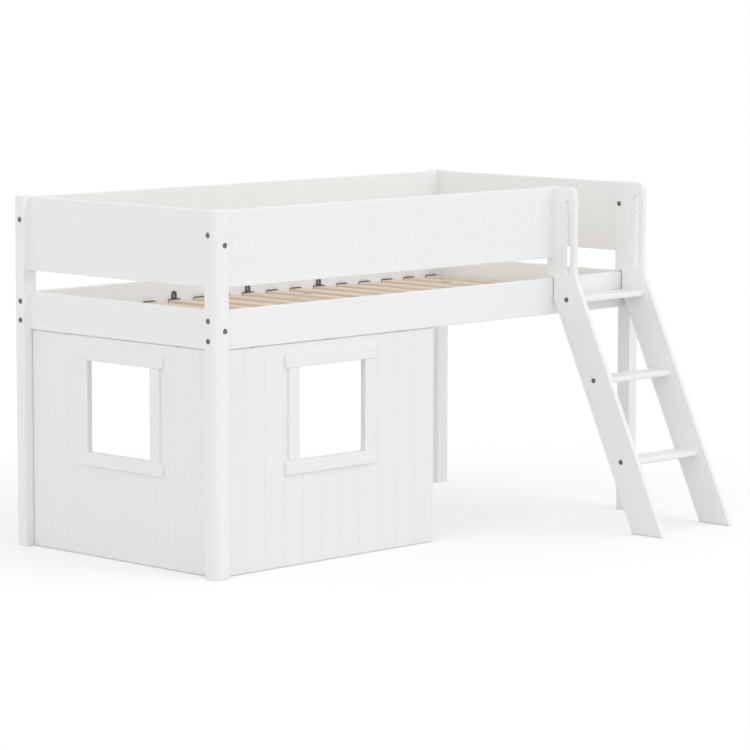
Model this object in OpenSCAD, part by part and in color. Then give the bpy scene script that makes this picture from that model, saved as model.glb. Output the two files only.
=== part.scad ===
// Cabin bed: four posts on legs, guard boards and rails bolted between them, a slatted
// deck, two hanging play panels with framed windows, and a hooked ladder at the front.
// Drawn from the outer front left corner of the left post, +X along the bed, +Y to the
// back, then moved so that the origin is the centre of the footprint, on the floor.

/* [Overall] */
// Length over the posts
bed_l = 2110; // [2000:10:2200]
// Width over the posts
bed_w = 1010; // [950:10:1250]
// Height of the lower legs
leg_h = 538; // [520:1:560]
// Height of the upper posts
post_h = 662; // [655:1:700]

/* [Posts] */
// Side of the square posts
post_s = 57; // [56:1:62]
// Radius of the outer corner of each post
post_corner_r = 24; // [6:1:26]
// Radius of the other three corners
post_edge_r = 3; // [1:0.5:6]

/* [Boards] */
// Thickness of the guard boards and rails
board_t = 22; // [20:1:24]
// Set-back of the boards from the outer faces of the posts
board_set = 28; // [26:1:30]
// Radius along the long edges of the boards
board_edge_r = 3; // [1:0.5:6]
// Height of the guard boards
guard_h = 250; // [220:5:260]
// Drop of the guard boards below the tops of the posts
guard_drop = 3; // [0:1:10]
// Height of the side rails
rail_h = 128; // [120:1:135]
// Open gap between guard boards and rails
rail_gap = 73; // [60:1:75]
// Number of rounded ribs along the front guard board
flute_count = 80; // [60:1:100]
// Radius of the round cutter that makes each flute
flute_r = 4; // [3:0.5:5]
// Depth of the flutes
flute_depth = 1.5; // [1:0.5:2.5]
// Distance of the flutes from the upper and lower edge of the board
flute_margin = 10; // [5:1:40]
// Length over which a flute runs out at each end
flute_run = 24; // [10:1:60]

/* [Slatted deck] */
// Number of slats
slat_count = 17; // [13:2:17]
// Distance of the first slat's centre from the inner face of the post
slat_end = 38; // [36:1:60]
// Width of a slat
slat_w = 56; // [45:1:70]
// Thickness of a slat
slat_t = 18; // [12:1:20]
// Drop of the slats below the top of the rails
slat_drop = 74; // [70:1:80]
// Depth of the batten that carries the slat holders
ledger_d = 25; // [22:1:30]
// Height of that batten
ledger_h = 28; // [25:1:30]
// Width of a slat holder
holder_w = 52; // [40:1:54]
// Depth of the holder's lip over the end of its slat
holder_d = 9; // [7:1:20]
// Length of the holder's foot under the slat
holder_foot_d = 38; // [30:1:50]
// Wall of a slat holder
holder_wall = 3; // [2:0.5:4]
// Width of the upright tab that keeps the mattress in place
tab_w = 23; // [16:1:30]
// Height of the upright tab
tab_h = 28; // [20:1:35]
// Width of the slot through the tab
tab_slot_w = 7; // [4:1:9]
// Height of that slot
tab_slot_h = 15; // [8:1:18]
// Every how many slats a holder has a tab
tab_every = 3; // [2:1:4]

/* [Play panels] */
// Thickness of the play panels
panel_t = 12; // [10:1:13]
// Set-back of the panels from the outer faces of the posts
panel_set = 35; // [30:1:42]
// Gap around the panels, to posts, rail and floor
panel_gap = 3; // [3:0.5:6]
// Length of the front panel
front_panel_l = 994; // [900:2:1200]
// Distance between the board grooves
groove_pitch = 89; // [70:1:110]
// Distance of the first groove from the left end of the front panel
groove_start = 10; // [8:1:60]
// Least plain width between a groove and the right end of a panel
groove_rest = 20; // [10:1:60]
// Depth of the grooves
groove_depth = 3; // [1:0.5:4]
// Width of the grooves at the face of the panel
groove_w = 3.5; // [2:0.5:6]

/* [Windows] */
// Width and height of the window openings
window_s = 310; // [260:5:340]
// Distance of the top of the openings below the rails
window_drop = 83; // [60:1:90]
// Distance of the front window's centre from the panel's left edge
front_window_x = 495; // [400:5:560]
// Width of the frame boards
trim_w = 46; // [35:1:60]
// Thickness of the frame boards
trim_t = 10; // [8:1:12]
// Overhang of sill and header past the side boards
trim_over = 15; // [0:1:25]
// Corner radius of sill, header and panel opening
trim_r = 8; // [2:1:12]

/* [Ladder] */
// Overall width of the ladder, between its outer faces
ladder_w = 392; // [350:2:450]
// Thickness of the ladder sides
side_t = 20; // [20:1:22]
// Width of the leaning part of the sides
side_w = 127.5; // [120:0.5:135]
// Lean of the ladder from upright
lean = 25; // [22:1:26]
// How far the upright part stands in front of the posts
side_front = 74; // [70:1:80]
// Height above the rail at which the sides start to lean
kink_rise = 17; // [6:1:26]
// Radius of the bend in the front edge
kink_r = 95; // [60:5:120]
// Radius of the top front corner
side_top_r = 30; // [10:1:40]
// Clearance where the sides hook over the rail
hook_clear = 3; // [1:0.5:4]
// Width of the hand slot
slot_w = 25; // [20:1:30]
// Height of the hand slot
slot_h = 258; // [200:2:260]
// Distance of the slot's centre line from the front edge
slot_in = 37; // [30:1:44]
// Distance of the slot's top from the top of the sides
slot_drop = 49; // [40:1:60]
// Depth of a rung
rung_d = 90; // [80:1:95]
// Thickness of a rung
rung_t = 20; // [18:1:25]
// Distance of the top rung's middle below the top of the rail
rung_top_drop = 72; // [64:1:84]
// Rise from rung to rung
rung_rise = 277; // [250:1:280]
// Distance of a rung's middle behind the front edge, measured level
rung_in = 78.5; // [70:0.5:80]
// Radius along the front edges of a rung
rung_front_r = 5; // [2:0.5:8]
// Radius along its back edges
rung_back_r = 3; // [2:0.5:6]
// Number of rungs
rung_count = 3; // [3:1:3]

/* [Fixings] */
// Diameter of a furniture bolt
bolt_d = 7; // [6:0.5:8]
// Diameter of its flat head
bolt_head_d = 18; // [15:0.5:20]
// Thickness of the head
bolt_head_h = 2.5; // [2:0.25:3]
// How deep the head is let into the wood
head_sunk = 1.5; // [0.5:0.25:2]
// How far a bolt reaches into the board behind
bolt_grip = 24.5; // [20:0.5:28]
// Outer diameter of a threaded insert
insert_d = 12; // [10:0.5:13]
// Length of a threaded insert
insert_l = 22; // [15:1:24]
// Clearance on the diameter of a plain bolt hole
hole_clear = 0.5; // [0.3:0.1:1]
// Clearance on the diameter of a thread or a dowel
fit_clear = 0.1; // [0.05:0.05:0.2]
// Distance of the bolt in the long guard boards below the post tops
guard_bolt_drop = 80; // [70:1:90]
// Distance of the bolt in the end guard boards below the post tops
end_bolt_drop = 113; // [105:1:130]
// Spacing of the two bolts at each end of the long rails
rail_bolt_gap = 65; // [60:1:70]
// Diameter of the stud between leg and post
stud_d = 10; // [8:1:12]
// Length of that stud
stud_l = 90; // [60:5:120]
// Diameter of the dowel that stops the leg turning
dowel_d = 8; // [6:1:8]
// Length of that dowel
dowel_l = 50; // [30:5:60]
// Diameter of the batten screws
ledger_screw_d = 5; // [4:0.5:5]
// Length of the batten screws
ledger_screw_l = 35; // [30:1:38]
// Diameter of the bracket screws
bracket_screw_d = 3.5; // [3:0.5:4]
// Length of the bracket screws
bracket_screw_l = 10; // [8:1:11]
// Width of the panel brackets
bracket_w = 30; // [20:1:40]
// Height of the panel brackets
bracket_h = 42; // [30:1:50]

/* [Hidden] */
$fn = 64;
cut = 1;                                             // how far a cutter runs past a face
top_z = leg_h + post_h;
guard_top = top_z - guard_drop;
guard_z = guard_top - guard_h;
rail_top = guard_z - rail_gap;
rail_z = rail_top - rail_h;
board_mid = board_set + board_t / 2;                 // centre plane of every board
board_in = board_set + board_t;                      // inner face of every board
rail_mid_z = rail_z + rail_h / 2;
guard_bolt_z = top_z - guard_bolt_drop;
end_bolt_z = top_z - end_bolt_drop;
rail_bolt_zs = [rail_mid_z - rail_bolt_gap / 2, rail_mid_z + rail_bolt_gap / 2];
head_proud = bolt_head_h - head_sunk;
socket_across = 5;                                   // corner to corner of the bolt's socket
socket_floor = 0.5;
insert_room = 5;                                     // free depth behind the end of a bolt
stud_room = 5;                                       // free depth at each end of a stud
dowel_room = 1;
dowel_in = 16;                                       // dowel axis from the post's inner faces

side_right_x = bed_l - post_s - side_t;              // right ladder side, against its post
side_left_x = bed_l - post_s - ladder_w;             // left ladder side
front_guard_l = side_left_x - post_s;
slope = tan(lean);
kink_z = rail_top + kink_rise;
rung_top_z = rail_top - rung_top_drop;
side_level_w = side_w / cos(lean);                   // width of the leaning part, measured level
foot_front_y = -side_front - kink_z * slope;
hook_z = rail_top + hook_clear;
hook_y = board_set - hook_clear;
hook_low_z = (hook_y - side_level_w - foot_front_y) / slope;
rung_l = side_right_x - side_left_x - side_t;

slat_pitch = (bed_l - 2 * (post_s + slat_end)) / (slat_count - 1);
slat_top = rail_top - slat_drop;
slat_z = slat_top - slat_t;
holder_play = 0.5;                                   // play of a slat in its holder
holder_floor = 4;
tab_slot_rise = 4;                                   // solid height under the slot of a tab
ledger_top = slat_z - holder_floor;
holder_h = holder_floor + slat_t + holder_play + holder_wall;
peg_d = 8;
peg_l = 10;
peg_room = 2;                                        // free depth under a peg
shoe_r = 4;                                          // round of a holder's upper edges
shoe_low_r = 1;
slat_edge_r = 3;
ledger_y = board_in + ledger_d / 2;                  // centre line of the batten and its holes
ledger_end = panel_gap;                              // gap between batten and post

panel_h = rail_z - 2 * panel_gap;
window_z = rail_z - window_drop - window_s;
panel_back = panel_set + panel_t;
end_panel_l = bed_w - 2 * (post_s + panel_gap);
front_panel_x = post_s + panel_gap;
trim_l = window_s + 2 * (trim_w + trim_over);
bracket_t = 2;
bracket_lip = 7;                                     // reach past the middle of the rail
bracket_screw_rise = 10;                             // height of the side screws in a bracket
bracket_top = rail_z;                                // the brackets hang under the rails
bracket_reach = panel_back + bracket_t - (board_mid - bracket_lip);

// Centre of the footprint, from ladder foot to the heads of the back bolts
middle = [bed_l / 2, (foot_front_y + bed_w + head_proud) / 2, 0];

slat_names = [for (i = [1 : slat_count]) str("slat_", i < 10 ? "0" : "", i)];

paint = "whitesmoke";
pine = "burlywood";
steel = "dimgray";
black = [0.12, 0.12, 0.12];

// ---- helpers -------------------------------------------------------------------------

// Moves a part from the bed's front left corner to the origin of the model
module place() {
    translate(-middle) children();
}

module flip_x(on) {
    if (on) mirror([1, 0, 0]) children();
    else children();
}

module flip_y(on) {
    if (on) mirror([0, 1, 0]) children();
    else children();
}

// Puts what is drawn for the front left corner at any corner; end and side are 0 or 1
module at_corner(end, side) {
    translate([end * bed_l, side * bed_w, 0])
        flip_x(end == 1) flip_y(side == 1) children();
}

// Cutter that rounds the corner of a square; turn 0 is its lower left corner
module corner_cut(at, turn, r) {
    translate(at) rotate(turn) difference() {
        translate([-cut, -cut]) square(r + cut);
        translate([r, r]) circle(r);
    }
}

// Rectangle with one radius per corner, anticlockwise from the lower left
module soft_rect(size, radii) {
    corners = [[0, 0], [size[0], 0], size, [0, size[1]]];
    difference() {
        square(size);
        for (k = [0 : 3]) corner_cut(corners[k], 90 * k, radii[k]);
    }
}

// Extrudes an outline drawn in Y and Z along X, from x to x + t
module along_x(x, t) {
    translate([x, 0, 0]) rotate([90, 0, 90]) linear_extrude(t) children();
}

// Extrudes an outline drawn in X and Z along Y, from y to y + t
module along_y(y, t) {
    translate([0, y + t, 0]) rotate([90, 0, 0]) linear_extrude(t) children();
}

// Turns a part drawn along +Z so that it points out of the named face
module point_to(way) {
    turns = way == "-x" ? [0, -90, 0] : way == "+x" ? [0, 90, 0]
        : way == "-y" ? [90, 0, 0] : way == "+y" ? [-90, 0, 0] : [180, 0, 0];
    rotate(turns) children();
}

// ---- fixings -------------------------------------------------------------------------

// Furniture bolt with a flat head and a hexagon socket; z = 0 is the face it is let into
module bolt(through) {
    under = -head_sunk;
    difference() {
        union() {
            translate([0, 0, under]) cylinder(h = bolt_head_h, d = bolt_head_d);
            translate([0, 0, -through - bolt_grip])
                cylinder(h = through + bolt_grip + under, d = bolt_d);
        }
        translate([0, 0, under + socket_floor]) cylinder(h = bolt_head_h, d = socket_across, $fn = 6);
    }
}

// What a bolt removes from the piece it passes: plain hole and recess for the head
module bolt_hole(through) {
    translate([0, 0, -through - cut]) cylinder(h = through + 2 * cut, d = bolt_d + hole_clear);
    translate([0, 0, -head_sunk]) cylinder(h = head_sunk + cut, d = bolt_head_d + hole_clear);
}

// Threaded insert, let in flush; z = 0 is the face of the wood
module insert() {
    translate([0, 0, -insert_l]) difference() {
        cylinder(h = insert_l, d = insert_d);
        translate([0, 0, -cut]) cylinder(h = insert_l + 2 * cut, d = bolt_d + fit_clear);
    }
}

module insert_hole() {
    depth = bolt_grip + insert_room;
    translate([0, 0, -depth]) cylinder(h = depth + cut, d = insert_d);
}

// Countersunk wood screw; z = 0 is the face of the piece it is driven into
module wood_screw(d, l) {
    cone = d / 2;
    translate([0, 0, -cone]) cylinder(h = cone, d1 = d, d2 = 2 * d);
    translate([0, 0, -l]) cylinder(h = l - cone, d = d);
}

// Where the bolts stand in the front left post: height and face
module at_rail_bolts(x) {
    for (z = rail_bolt_zs) translate([x, board_mid, z]) children();
}

module at_guard_bolt(x) {
    translate([x, board_mid, guard_bolt_z]) children();
}

module at_end_bolts(y) {
    for (z = [end_bolt_z, rail_mid_z]) translate([board_mid, y, z]) children();
}

// ---- posts and legs ------------------------------------------------------------------

module post_section() {
    soft_rect([post_s, post_s], [post_corner_r, post_edge_r, post_edge_r, post_edge_r]);
}

// Stud on the post's axis and dowel beside it, in leg and post
module stud_place() {
    translate([post_s / 2, post_s / 2, leg_h]) children();
}

module dowel_place() {
    translate([post_s - dowel_in, post_s - dowel_in, leg_h]) children();
}

module joint_holes() {
    stud_place() cylinder(h = stud_l + 2 * stud_room, d = stud_d + fit_clear, center = true);
    dowel_place() cylinder(h = dowel_l + 2 * dowel_room, d = dowel_d + fit_clear, center = true);
}

module post(end, side, guard_bolt = true) {
    color(paint) place() at_corner(end, side) difference() {
        translate([0, 0, leg_h]) linear_extrude(post_h) post_section();
        joint_holes();
        at_rail_bolts(0) point_to("-x") bolt_hole(post_s);
        at_end_bolts(0) point_to("-y") bolt_hole(post_s);
        if (guard_bolt) at_guard_bolt(0) point_to("-x") bolt_hole(post_s);
        else at_guard_bolt(post_s) point_to("+x") insert_hole();
    }
}

module leg(end, side) {
    color(paint) place() at_corner(end, side) difference() {
        linear_extrude(leg_h) post_section();
        joint_holes();
    }
}

module leg_studs() {
    color(steel) place() for (end = [0, 1], side = [0, 1])
        at_corner(end, side) stud_place() cylinder(h = stud_l, d = stud_d, center = true);
}

module leg_dowels() {
    color(pine) place() for (end = [0, 1], side = [0, 1])
        at_corner(end, side) dowel_place() cylinder(h = dowel_l, d = dowel_d, center = true);
}

// ---- guard boards and rails ----------------------------------------------------------

// Section of a board, drawn in its thickness and height
module board_section(h) {
    r = board_edge_r;
    soft_rect([board_t, h], [r, r, r, r]);
}

// Long board of the front side, from the left post to x + l
module long_board(l, z, h) {
    along_x(post_s, l) translate([board_set, z]) board_section(h);
}

// Short board of the left end, from the front post to the back post
module short_board(z, h) {
    along_y(post_s, bed_w - 2 * post_s) translate([board_set, z]) board_section(h);
}

module at_far_end() {
    translate([bed_l, 0, 0]) mirror([1, 0, 0]) children();
}

module at_far_side() {
    translate([0, bed_w, 0]) mirror([0, 1, 0]) children();
}

// Round cutter of one flute, upright at the origin, which runs out at both ends
module flute_cutter() {
    bottom = guard_z + flute_margin;
    straight = guard_h - 2 * (flute_margin + flute_run);
    end_r = flute_r - flute_depth;
    translate([0, 0, bottom]) cylinder(h = flute_run, r1 = end_r, r2 = flute_r);
    translate([0, 0, bottom + flute_run]) cylinder(h = straight, r = flute_r);
    translate([0, 0, bottom + flute_run + straight])
        cylinder(h = flute_run, r1 = flute_r, r2 = end_r);
}

module front_guard() {
    pitch = front_guard_l / flute_count;
    color(paint) place() difference() {
        long_board(front_guard_l, guard_z, guard_h);
        for (i = [1 : flute_count - 1])
            translate([post_s + i * pitch, board_set + flute_depth - flute_r, 0]) flute_cutter();
        at_guard_bolt(post_s) point_to("-x") insert_hole();
        at_guard_bolt(side_left_x) point_to("+x") insert_hole();
    }
}

module back_guard() {
    color(paint) place() at_far_side() difference() {
        long_board(bed_l - 2 * post_s, guard_z, guard_h);
        at_guard_bolt(post_s) point_to("-x") insert_hole();
        at_far_end() at_guard_bolt(post_s) point_to("-x") insert_hole();
    }
}

module end_guard(end) {
    color(paint) place() at_corner(end, 0) difference() {
        short_board(guard_z, guard_h);
        at_end_bolts(post_s) point_to("-y") insert_hole();
        at_far_side() at_end_bolts(post_s) point_to("-y") insert_hole();
    }
}

// Screws of the slat batten stand half way between slats
module at_batten_screws() {
    step = 2 * slat_pitch;
    for (x = [bed_l / 2 - 3.5 * step : step : bed_l / 2 + 3.5 * step + cut])
        translate([x, board_in + ledger_d, ledger_top - ledger_h / 2])
            point_to("+y") children();
}

module long_rail(side) {
    color(paint) place() at_corner(0, side) difference() {
        long_board(bed_l - 2 * post_s, rail_z, rail_h);
        at_rail_bolts(post_s) point_to("-x") insert_hole();
        at_far_end() at_rail_bolts(post_s) point_to("-x") insert_hole();
        at_batten_screws() wood_screw(ledger_screw_d, ledger_screw_l);
        if (side == 0) at_front_brackets() bracket_screw_holes();
    }
}

module end_rail(end) {
    color(paint) place() at_corner(end, 0) difference() {
        short_board(rail_z, rail_h);
        at_end_bolts(post_s) point_to("-y") insert_hole();
        at_far_side() at_end_bolts(post_s) point_to("-y") insert_hole();
        if (end == 0) at_end_brackets() bracket_screw_holes();
    }
}

module post_bolts() {
    color(steel) place() {
        for (end = [0, 1], side = [0, 1]) at_corner(end, side) {
            at_rail_bolts(0) point_to("-x") bolt(post_s);
            at_end_bolts(0) point_to("-y") bolt(post_s);
        }
        for (corner = [[0, 0], [0, 1], [1, 1]])
            at_corner(corner[0], corner[1]) at_guard_bolt(0) point_to("-x") bolt(post_s);
    }
}

module insert_nuts() {
    color(steel) place() {
        for (end = [0, 1], side = [0, 1]) at_corner(end, side) {
            at_rail_bolts(post_s) point_to("-x") insert();
            at_end_bolts(post_s) point_to("-y") insert();
        }
        for (corner = [[0, 0], [0, 1], [1, 1]])
            at_corner(corner[0], corner[1]) at_guard_bolt(post_s) point_to("-x") insert();
        at_guard_bolt(side_left_x) point_to("+x") insert();
        at_guard_bolt(bed_l - post_s) point_to("-x") insert();
        at_rungs() {
            translate([side_left_x + side_t, 0, 0]) point_to("-x") insert();
            translate([side_right_x, 0, 0]) point_to("+x") insert();
        }
    }
}

// ---- slatted deck --------------------------------------------------------------------

function slat_x(i) = bed_l / 2 + (i - (slat_count + 1) / 2) * slat_pitch;
function has_tab(i) = (i - (slat_count + 1) / 2) % tab_every == 0
    && abs(i - (slat_count + 1) / 2) <= tab_every;

module slat(i) {
    play = board_in + holder_wall + 2 * holder_play;
    r = slat_edge_r;
    color(pine) place() along_y(play, bed_w - 2 * play)
        translate([slat_x(i) - slat_w / 2, slat_z]) soft_rect([slat_w, slat_t], [r, r, r, r]);
}

// Batten on the inner face of a rail, with a hole for the peg of each slat holder
module slat_batten(side) {
    start = post_s + ledger_end;
    color(paint) place() at_corner(0, side) difference() {
        translate([start, board_in, ledger_top - ledger_h])
            cube([bed_l - 2 * start, ledger_d, ledger_h]);
        for (i = [1 : slat_count])
            translate([slat_x(i), ledger_y, ledger_top - peg_l - peg_room])
                cylinder(h = peg_l + peg_room + cut, d = peg_d + fit_clear);
        at_batten_screws() wood_screw(ledger_screw_d, ledger_screw_l);
    }
}

module batten_screws() {
    color(steel) place() for (side = [0, 1])
        at_corner(0, side) at_batten_screws() wood_screw(ledger_screw_d, ledger_screw_l);
}

// Moulded shoe for the end of slat i: a socket with a peg below, and a tab on some
module slat_holder(i) {
    y = board_in + holder_play;
    translate([slat_x(i), 0, ledger_top]) {
        difference() {
            along_y(y, holder_d) translate([-holder_w / 2, 0])
                soft_rect([holder_w, holder_h], [shoe_low_r, shoe_low_r, shoe_r, shoe_r]);
            along_y(y + holder_wall, holder_d) translate([-holder_w / 2 - cut, holder_floor])
                square([holder_w + 2 * cut, slat_t + holder_play]);
        }
        along_y(y + holder_d - cut, holder_foot_d - holder_d + cut)
            translate([-holder_w / 2, 0]) square([holder_w, holder_floor]);
        translate([0, ledger_y, -peg_l]) cylinder(h = peg_l, d = peg_d);
        if (has_tab(i)) along_y(y, holder_wall) translate([0, holder_h]) difference() {
            tab_outline(tab_w, -cut, tab_h);
            tab_outline(tab_slot_w, tab_slot_rise, tab_slot_rise + tab_slot_h);
        }
    }
}

// Upright strip with a round top, drawn around x = 0
module tab_outline(w, low, high) {
    translate([-w / 2, low]) square([w, high - w / 2 - low]);
    translate([0, high - w / 2]) circle(d = w);
}

module holders(with_tab) {
    color(black) place() for (side = [0, 1], i = [1 : slat_count])
        if (has_tab(i) == with_tab) at_corner(0, side) slat_holder(i);
}

// ---- play panels and windows ---------------------------------------------------------

// Plan of the cutter of one V groove, whose wide end runs past the face at y = 0
module groove() {
    reach = groove_w / 2 * (groove_depth + cut) / groove_depth;
    polygon([[-reach, -cut], [reach, -cut], [0, groove_depth]]);
}

// Panel drawn standing on its long edge along +X with its outer face at y = 0
module play_panel(l, window_x, first_groove) {
    difference() {
        linear_extrude(panel_h) difference() {
            square([l, panel_t]);
            for (x = [first_groove : groove_pitch : l - groove_rest]) translate([x, 0]) groove();
        }
        along_y(-cut, panel_t + 2 * cut) translate([window_x - window_s / 2, window_z - panel_gap])
            soft_rect([window_s, window_s], [trim_r, trim_r, trim_r, trim_r]);
    }
}

// Turns a front part drawn along +X into the same part of the left end, along +Y
module on_left_end() {
    mirror([1, -1, 0]) children();
}

function first_groove_end() = end_panel_l / 2 - 4 * groove_pitch;

module front_play_panel() {
    color(paint) place() difference() {
        translate([front_panel_x, panel_set, panel_gap])
            play_panel(front_panel_l, front_window_x, groove_start);
        at_front_brackets() bracket_screw_holes();
    }
}

module end_play_panel() {
    color(paint) place() difference() {
        on_left_end() translate([front_panel_x, panel_set, panel_gap])
            play_panel(end_panel_l, end_panel_l / 2, first_groove_end());
        at_end_brackets() bracket_screw_holes();
    }
}

// Frame boards of a window whose centre is at x, drawn for the front
module trim_board(x, z, l, h, r) {
    along_y(panel_set - trim_t, trim_t) translate([x - l / 2, z]) soft_rect([l, h], [r, r, r, r]);
}

module header(x) {
    trim_board(x, window_z + window_s, trim_l, trim_w, trim_r);
}

module sill(x) {
    trim_board(x, window_z - trim_w, trim_l, trim_w, trim_r);
}

module jamb(x, way) {
    trim_board(x + way * (window_s + trim_w) / 2, window_z, trim_w, window_s, 1);
}

module front_trim() {
    color(paint) place() translate([front_panel_x + front_window_x, 0, 0]) children();
}

module end_trim() {
    color(paint) place() on_left_end() translate([bed_w / 2, 0, 0]) children();
}

// L bracket under a rail, drawn for the front, centred on x = 0
module bracket() {
    leg_y = panel_back;
    translate([-bracket_w / 2, 0, 0]) {
        translate([0, leg_y, bracket_top - bracket_h]) cube([bracket_w, bracket_t, bracket_h]);
        translate([0, leg_y + bracket_t - bracket_reach, bracket_top - bracket_t])
            cube([bracket_w, bracket_reach, bracket_t]);
    }
}

// Two screws into the panel and one up into the rail
module bracket_screw_places() {
    for (x = [-bracket_w / 4, bracket_w / 4])
        translate([x, panel_back + bracket_t, bracket_top - bracket_h + bracket_screw_rise])
            point_to("+y") children();
    translate([0, board_mid, bracket_top - bracket_t]) point_to("-z") children();
}

module bracket_screw_holes() {
    bracket_screw_places() wood_screw(bracket_screw_d, bracket_screw_l);
}

module at_front_brackets() {
    for (share = [0.15, 0.5, 0.85])
        translate([front_panel_x + share * front_panel_l, 0, 0]) children();
}

module at_end_brackets() {
    on_left_end() for (share = [0.2, 0.8])
        translate([front_panel_x + share * end_panel_l, 0, 0]) children();
}

module panel_brackets() {
    color(steel) place() difference() {
        union() {
            at_front_brackets() bracket();
            at_end_brackets() bracket();
        }
        at_front_brackets() bracket_screw_holes();
        at_end_brackets() bracket_screw_holes();
    }
}

module bracket_screws() {
    color(steel) place() {
        at_front_brackets() bracket_screw_holes();
        at_end_brackets() bracket_screw_holes();
    }
}

// ---- ladder --------------------------------------------------------------------------

// Y of the leaning front edge at height z
function front_edge(z) = -side_front - (kink_z - z) * slope;
function rung_z(i) = rung_top_z - i * rung_rise;

// Places children on the axis of each rung, in Y and Z
module at_rungs() {
    for (i = [0 : rung_count - 1])
        translate([0, front_edge(rung_z(i)) + rung_in, rung_z(i)]) children();
}

// Where the rounded bend in the front edge ends above, ends below and has its centre
bend = [-side_front, kink_z];
bend_reach = kink_r * tan(lean / 2);
bend_above = bend + [0, bend_reach];
bend_below = bend - bend_reach * [sin(lean), cos(lean)];
bend_centre = bend_above - [kink_r, 0];

// Outline of a ladder side in Y and Z, with its hook over the rail and its hand slot
module side_outline() {
    slot_r = slot_w / 2;
    slot_y = -side_front + slot_in;
    slot_top = top_z - slot_drop;
    difference() {
        polygon([
            [-side_front, top_z], [post_s, top_z], [post_s, hook_z], [hook_y, hook_z],
            [hook_y, hook_low_z], [foot_front_y + side_level_w, 0], [foot_front_y, 0],
            bend_below, bend_above
        ]);
        translate(bend_centre) circle(kink_r, $fn = 128);
        corner_cut([-side_front, top_z], 270, side_top_r);
        translate([slot_y - slot_r, slot_top - slot_h + slot_r])
            square([slot_w, slot_h - slot_w]);
        for (z = [slot_top - slot_r, slot_top - slot_h + slot_r])
            translate([slot_y, z]) circle(slot_r);
    }
}

module ladder_left_side() {
    color(paint) place() difference() {
        along_x(side_left_x, side_t) side_outline();
        at_rungs() translate([side_left_x, 0, 0]) point_to("-x") bolt_hole(side_t);
        at_guard_bolt(side_left_x + side_t) point_to("+x") bolt_hole(side_t);
    }
}

module ladder_right_side() {
    color(paint) place() difference() {
        along_x(side_right_x, side_t) side_outline();
        at_rungs() translate([side_right_x + side_t, 0, 0]) point_to("+x") bolt_hole(side_t);
        at_guard_bolt(side_right_x) point_to("-x") bolt_hole(side_t);
    }
}

module rung(i) {
    front_r = rung_front_r;
    back_r = rung_back_r;
    y = front_edge(rung_z(i)) + rung_in;
    color(paint) place() difference() {
        along_x(side_left_x + side_t, rung_l) translate([y - rung_d / 2, rung_z(i) - rung_t / 2])
            soft_rect([rung_d, rung_t], [front_r, back_r, back_r, front_r]);
        at_rungs() {
            translate([side_left_x + side_t, 0, 0]) point_to("-x") insert_hole();
            translate([side_right_x, 0, 0]) point_to("+x") insert_hole();
        }
    }
}

module ladder_bolts() {
    color(steel) place() {
        at_rungs() {
            translate([side_left_x, 0, 0]) point_to("-x") bolt(side_t);
            translate([side_right_x + side_t, 0, 0]) point_to("+x") bolt(side_t);
        }
        at_guard_bolt(side_left_x + side_t) point_to("+x") bolt(side_t);
        at_guard_bolt(side_right_x) point_to("-x") bolt(side_t);
    }
}

// ---- nodes ---------------------------------------------------------------------------

post(0, 0);  // post_front_left
post(0, 1);  // post_back_left
post(1, 1);  // post_back_right
post(1, 0, guard_bolt = false);  // post_front_right
leg(0, 0);  // leg_front_left
leg(0, 1);  // leg_back_left
leg(1, 1);  // leg_back_right
leg(1, 0);  // leg_front_right
front_guard();
back_guard();
end_guard(0);  // left_end_guard
end_guard(1);  // right_end_guard
long_rail(0);  // front_rail
long_rail(1);  // back_rail
end_rail(0);  // left_end_rail
end_rail(1);  // right_end_rail
slat_batten(0);  // front_slat_batten
slat_batten(1);  // back_slat_batten
holders(false);  // slat_holders
holders(true);  // tab_holders
end_play_panel();
front_play_panel();
end_trim() header(0);  // end_window_header
end_trim() sill(0);  // end_window_sill
end_trim() jamb(0, 1);  // end_window_left_frame
end_trim() jamb(0, -1);  // end_window_right_frame
front_trim() header(0);  // front_window_header
front_trim() sill(0);  // front_window_sill
front_trim() jamb(0, -1);  // front_window_left_frame
front_trim() jamb(0, 1);  // front_window_right_frame
ladder_left_side();
ladder_right_side();
rung(0);  // rung_top
rung(1);  // rung_middle
rung(2);  // rung_bottom
leg_studs();
leg_dowels();
post_bolts();
ladder_bolts();
insert_nuts();
batten_screws();
panel_brackets();
bracket_screws();
for (i = [1 : slat_count])
    slat(i);
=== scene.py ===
# %% [markdown]
# # A mid-height cabin bed, dressed for its picture
#
# The bed is a kit of painted boards: four square posts on legs, guard boards and rails
# bolted between them, a deck of pine slats, two boarded play panels with little framed
# windows, and a ladder that hooks over the front rail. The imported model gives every
# piece its place and its size. This lesson gives each one its rounded edges, its finish
# and its light. All lengths are in metres.

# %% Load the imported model
from math import cos, pi, radians, sin, tan

import bmesh
import bpy
from mathutils import Euler, Matrix, Vector


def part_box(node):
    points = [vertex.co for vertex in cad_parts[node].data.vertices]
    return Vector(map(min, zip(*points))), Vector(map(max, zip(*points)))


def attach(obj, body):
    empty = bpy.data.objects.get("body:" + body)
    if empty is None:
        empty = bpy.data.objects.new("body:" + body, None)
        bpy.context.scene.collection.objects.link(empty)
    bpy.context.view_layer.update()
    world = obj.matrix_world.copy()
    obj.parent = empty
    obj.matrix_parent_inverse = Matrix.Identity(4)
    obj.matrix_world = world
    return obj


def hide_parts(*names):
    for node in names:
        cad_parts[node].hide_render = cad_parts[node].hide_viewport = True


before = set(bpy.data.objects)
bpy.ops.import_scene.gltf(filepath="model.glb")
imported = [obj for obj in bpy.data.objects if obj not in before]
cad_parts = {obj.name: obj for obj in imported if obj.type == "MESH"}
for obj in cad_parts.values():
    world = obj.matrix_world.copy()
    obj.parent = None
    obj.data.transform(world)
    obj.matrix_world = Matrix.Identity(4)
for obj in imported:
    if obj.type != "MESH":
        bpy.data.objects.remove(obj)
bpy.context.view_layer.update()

MM = 0.001
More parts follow.
